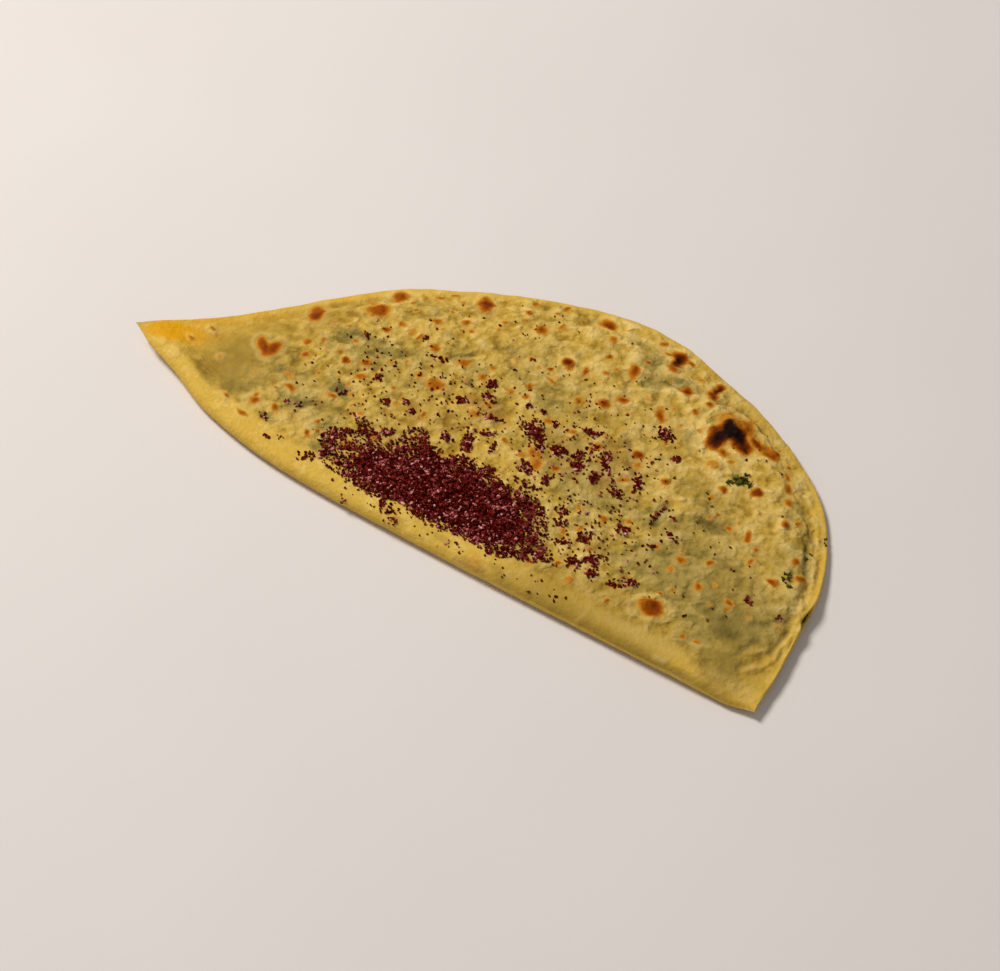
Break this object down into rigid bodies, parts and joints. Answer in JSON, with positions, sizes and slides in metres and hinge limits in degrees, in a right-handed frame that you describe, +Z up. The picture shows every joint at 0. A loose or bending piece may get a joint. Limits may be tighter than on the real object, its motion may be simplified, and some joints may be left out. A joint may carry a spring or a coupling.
{
  "type": "qutab",
  "caption": "Thin half-moon of griddled dough folded over chopped greens, sealed along its arc, with a heap of sumac on its front slope.",
  "frame": {"origin": "middle of the box round the bread, on the flat underside", "axes": "+X along the fold towards the blunt right tip, +Y towards the sealed arc, +Z up out of the top face"},
  "size_m": [0.2396, 0.118, 0.0086],
  "materials": {
    "baked_dough": null,
    "cooked_greens": null,
    "ground_sumac": null
  },
  "bodies": {
    "root": {"dough": "baked_dough", "greens_filling": "cooked_greens", "sumac_heap": "ground_sumac"}
  },
  "joints": []
}
